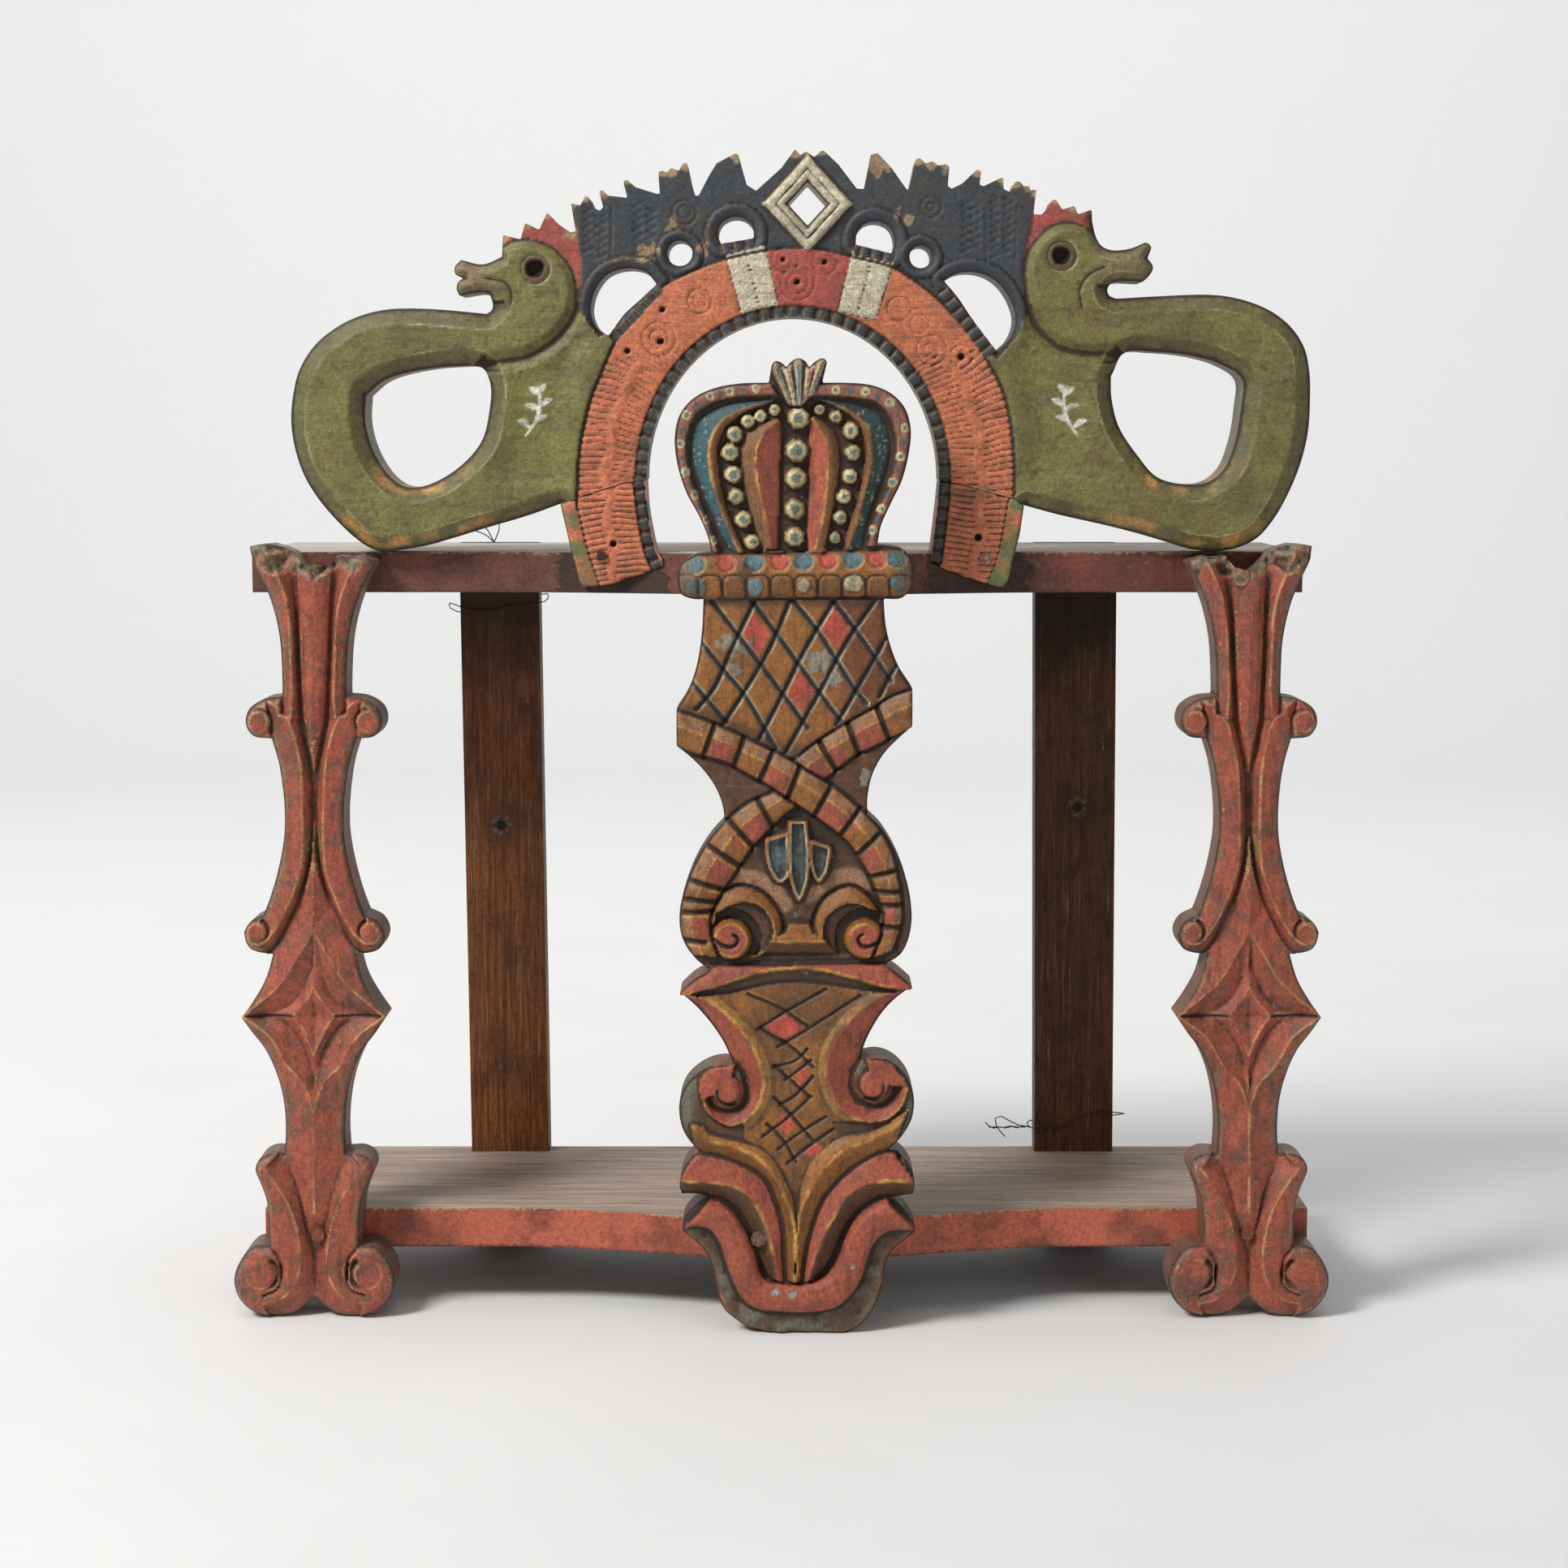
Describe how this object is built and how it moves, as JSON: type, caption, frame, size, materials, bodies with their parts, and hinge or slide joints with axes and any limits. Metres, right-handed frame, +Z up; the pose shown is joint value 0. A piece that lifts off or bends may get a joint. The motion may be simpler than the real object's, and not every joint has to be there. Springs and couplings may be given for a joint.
{
  "type": "carved painted shelf",
  "caption": "Carved and painted folk-art wooden shelf with scrolled side posts, a crowned centre post and a pierced bow with dragon heads on top.",
  "frame": {"origin": "middle of the bounding box's footprint, on the floor under the shelf", "axes": "+Z up, +X to the right as seen from the front, +Y from the front towards the back"},
  "size_m": [0.6052, 0.222, 0.6372],
  "materials": {
    "lower_shelf_wood": "worn matt red paint on the front edge, bare grey-brown wood on the faces",
    "upper_shelf_wood": "worn matt maroon paint on the front edge, bare grey-brown wood on the faces",
    "stained_wood": "dark brown stain, satin",
    "red_painted_wood": "worn red oil paint with dirt in the carving",
    "center_post_paint": "brown glaze with red, teal, blue and cream paint, worn satin",
    "bow_paint": "worn green, orange-red, blue-grey and cream paint, matt",
    "bow_foot_paint": "worn orange-red and green paint, matt",
    "peg_wood": "worn bare and painted end grain",
    "iron": "dark rusted iron",
    "iron_wire": "dark annealed binding wire"
  },
  "bodies": {
    "root": {"lower_shelf": "lower_shelf_wood", "upper_shelf": "upper_shelf_wood", "back_slat_left": "stained_wood", "back_slat_right": "stained_wood", "side_post_left": "red_painted_wood", "side_post_right": "red_painted_wood", "center_post": "center_post_paint", "bow": "bow_paint", "bow_foot_left": "bow_foot_paint", "bow_foot_right": "bow_foot_paint", "bow_foot_nail_left": "iron", "bow_arch_plug": "bow_paint", "post_peg_left_lower": "peg_wood", "post_peg_right_lower": "peg_wood", "post_peg_left_upper": "peg_wood", "post_peg_right_upper": "peg_wood", "center_peg_lower": "peg_wood", "center_plug_upper": "peg_wood", "center_plug_middle": "peg_wood", "bow_foot_peg_right": "bow_foot_paint", "slat_nail_left_upper_outer": "iron", "slat_nail_left_upper_inner": "iron", "slat_nail_left_lower_outer": "iron", "slat_nail_left_lower_inner": "iron", "slat_nail_right_upper_outer": "iron", "slat_nail_right_upper_inner": "iron", "slat_nail_right_lower_outer": "iron", "slat_nail_right_lower_inner": "iron", "wire_left": "iron_wire", "wire_right": "iron_wire"}
  },
  "joints": []
}
